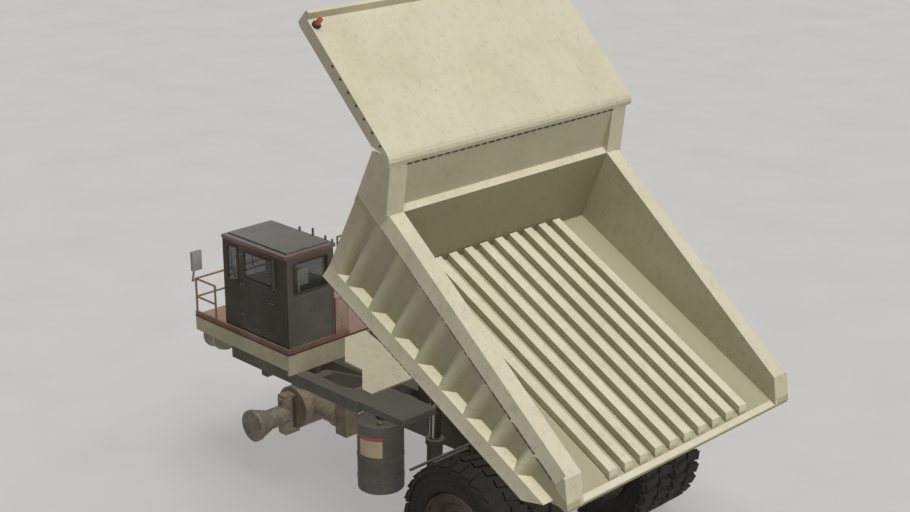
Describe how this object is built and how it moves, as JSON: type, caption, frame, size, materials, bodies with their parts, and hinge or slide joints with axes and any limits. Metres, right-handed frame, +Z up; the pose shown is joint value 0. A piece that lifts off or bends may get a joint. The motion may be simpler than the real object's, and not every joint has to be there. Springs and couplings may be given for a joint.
{
  "type": "dump truck",
  "caption": "Rigid mining dump truck with its bed raised: ribbed tipping bed with a canopy, side cab on a front deck, side tank, twin rear tyres and a bare front left hub.",
  "frame": {"origin": "on the ground, at the middle of the whole truck in plan with the bed raised", "axes": "+X forward, +Y to the truck's left, +Z up"},
  "size_m": [13.7, 8.7, 13.2679],
  "materials": {
    "bed_cream": "satin",
    "grey_paint": "satin",
    "roof_grey": "matte",
    "rail_red": "satin",
    "cabinet_pink": "satin",
    "frame_dark": "satin",
    "cast": "matte",
    "rim_paint": "satin",
    "tyre_rubber": "matte",
    "glass": "clear",
    "lamp_amber": "glossy",
    "lamp_clear": "glossy",
    "rod_steel": "satin",
    "cab_plastic": "matte"
  },
  "bodies": {
    "chassis": {"bumper": "frame_dark", "cab_glass": "glass", "cab_interior": "cab_plastic", "cab_roof": "roof_grey", "cab_shell": "grey_paint", "cabinets": "cabinet_pink", "corner_boxes": "bed_cream", "deck": "bed_cream", "deck_beams": "grey_paint", "deck_rails": "rail_red", "engine_block": "frame_dark", "frame_cross": "frame_dark", "front_arms": "cast", "headlamps": "lamp_clear", "hoist_yokes": "frame_dark", "main_frame": "frame_dark", "mirrors": "roof_grey", "outriggers": "frame_dark", "radiator": "frame_dark", "rear_axle": "cast", "rear_plates": "bed_cream", "side_tanks": "grey_paint", "struts": "rod_steel"},
    "bed": {"bed_floor": "bed_cream", "bed_side_left": "bed_cream", "bed_side_right": "bed_cream", "bed_front_wall": "bed_cream", "bed_canopy": "bed_cream", "marker_lamps": "lamp_amber"},
    "hoist_barrel_left": {"hoist_barrel_left": "frame_dark"},
    "hoist_rod_left": {"hoist_rod_left": "rod_steel"},
    "hoist_barrel_right": {"hoist_barrel_right": "frame_dark"},
    "hoist_rod_right": {"hoist_rod_right": "rod_steel"},
    "knuckle_left": {"knuckle_left": "cast"},
    "knuckle_right": {"knuckle_right": "cast"},
    "hub_left": {"hub_front_left": "cast"},
    "wheel_front_right": {"hub_front_right": "cast", "rim_front_right": "rim_paint", "tyre_front_right": "tyre_rubber"},
    "wheels_rear_left": {"rims_rear_left": "rim_paint", "tyres_rear_left": "tyre_rubber"},
    "wheels_rear_right": {"rims_rear_right": "rim_paint", "tyres_rear_right": "tyre_rubber"},
    "door": {"cab_door": "grey_paint", "door_glass": "glass"}
  },
  "joints": [
    {"name": "bed_tilt", "type": "hinge", "parent": "chassis", "child": "bed", "pos_m": [-3.35, 0, 3.3], "axis": [0, 1, 0], "range_deg": [0, 35]},
    {"name": "hoist_swing_left", "type": "hinge", "parent": "chassis", "child": "hoist_barrel_left", "pos_m": [-0.85, 2.05, 1.2], "axis": [0, 1, 0], "range_deg": [0, 20]},
    {"name": "hoist_slide_left", "type": "slide", "parent": "hoist_barrel_left", "child": "hoist_rod_left", "axis": [-0.0213, 0, 0.9998], "range_m": [-1.72, 0]},
    {"name": "steer_left", "type": "hinge", "parent": "chassis", "child": "knuckle_left", "pos_m": [4.75, 2.17, 1.65], "axis": [0, 0, 1], "range_deg": [-28, 28]},
    {"name": "hoist_swing_right", "type": "hinge", "parent": "chassis", "child": "hoist_barrel_right", "pos_m": [-0.85, -2.05, 1.2], "axis": [0, 1, 0], "range_deg": [0, 20]},
    {"name": "hoist_slide_right", "type": "slide", "parent": "hoist_barrel_right", "child": "hoist_rod_right", "axis": [-0.0213, 0, 0.9998], "range_m": [-1.72, 0]},
    {"name": "steer_right", "type": "hinge", "parent": "chassis", "child": "knuckle_right", "pos_m": [4.75, -2.17, 1.65], "axis": [0, 0, 1], "range_deg": [-28, 28]},
    {"name": "hub_left_spin", "type": "hinge", "parent": "knuckle_left", "child": "hub_left", "pos_m": [4.75, 3.05, 1.65], "axis": [0, 1, 0], "continuous": true},
    {"name": "wheel_front_right_spin", "type": "hinge", "parent": "knuckle_right", "child": "wheel_front_right", "pos_m": [4.75, -3.08, 1.65], "axis": [0, 1, 0], "continuous": true},
    {"name": "wheels_rear_left_spin", "type": "hinge", "parent": "chassis", "child": "wheels_rear_left", "pos_m": [-3.03, 2.5, 1.65], "axis": [0, 1, 0], "continuous": true},
    {"name": "wheels_rear_right_spin", "type": "hinge", "parent": "chassis", "child": "wheels_rear_right", "pos_m": [-3.03, -2.5, 1.65], "axis": [0, 1, 0], "continuous": true},
    {"name": "door_swing", "type": "hinge", "parent": "chassis", "child": "door", "pos_m": [4.49, 3.662, 5.7], "axis": [0, 0, -1], "range_deg": [0, 85]}
  ],
  "couplings": [
    {"joint": "hoist_swing_left", "follows": "bed_tilt", "ratio": 0.56473},
    {"joint": "hoist_slide_left", "follows": "bed_tilt", "m_per_rad": -2.7691},
    {"joint": "hoist_swing_right", "follows": "bed_tilt", "ratio": 0.56473},
    {"joint": "hoist_slide_right", "follows": "bed_tilt", "m_per_rad": -2.7691},
    {"joint": "steer_right", "follows": "steer_left", "ratio": 1}
  ]
}
